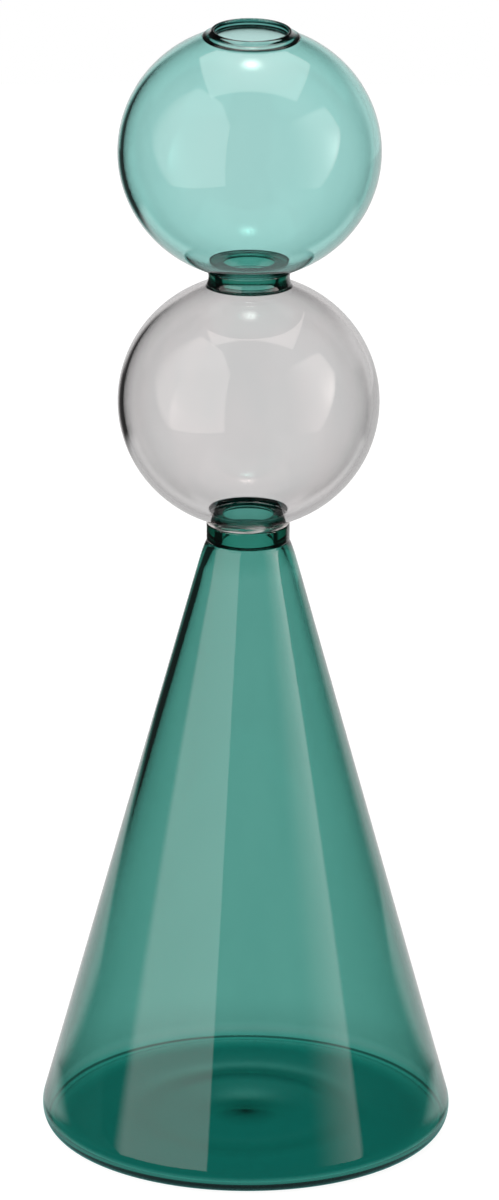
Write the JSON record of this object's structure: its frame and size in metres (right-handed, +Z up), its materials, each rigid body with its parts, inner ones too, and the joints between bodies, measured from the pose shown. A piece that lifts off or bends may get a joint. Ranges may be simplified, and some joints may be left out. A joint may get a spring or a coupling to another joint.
{
  "type": "glass vase",
  "caption": "Tall stem vase in glass: a dark teal cone carries a clear globe and a light teal globe on short necks, with a rolled lip round a narrow mouth.",
  "frame": {"origin": "centre of the ring that the vase stands on, in the plane of the table", "axes": "+Z up along the column, -Y towards the side that the picture shows, +X to the right of that side"},
  "size_m": [0.1396, 0.1396, 0.3843],
  "materials": {
    "dark_teal_glass": "polished, see-through, dark teal",
    "clear_glass": "polished, see-through, faintly warm grey",
    "light_teal_glass": "polished, see-through, light teal"
  },
  "bodies": {
    "root": {"cone_body": "dark_teal_glass", "cone_neck": "dark_teal_glass", "weld_bead": "clear_glass", "clear_globe": "clear_glass", "globe_collar": "dark_teal_glass", "teal_globe": "light_teal_glass", "mouth_lip": "light_teal_glass"}
  },
  "joints": []
}
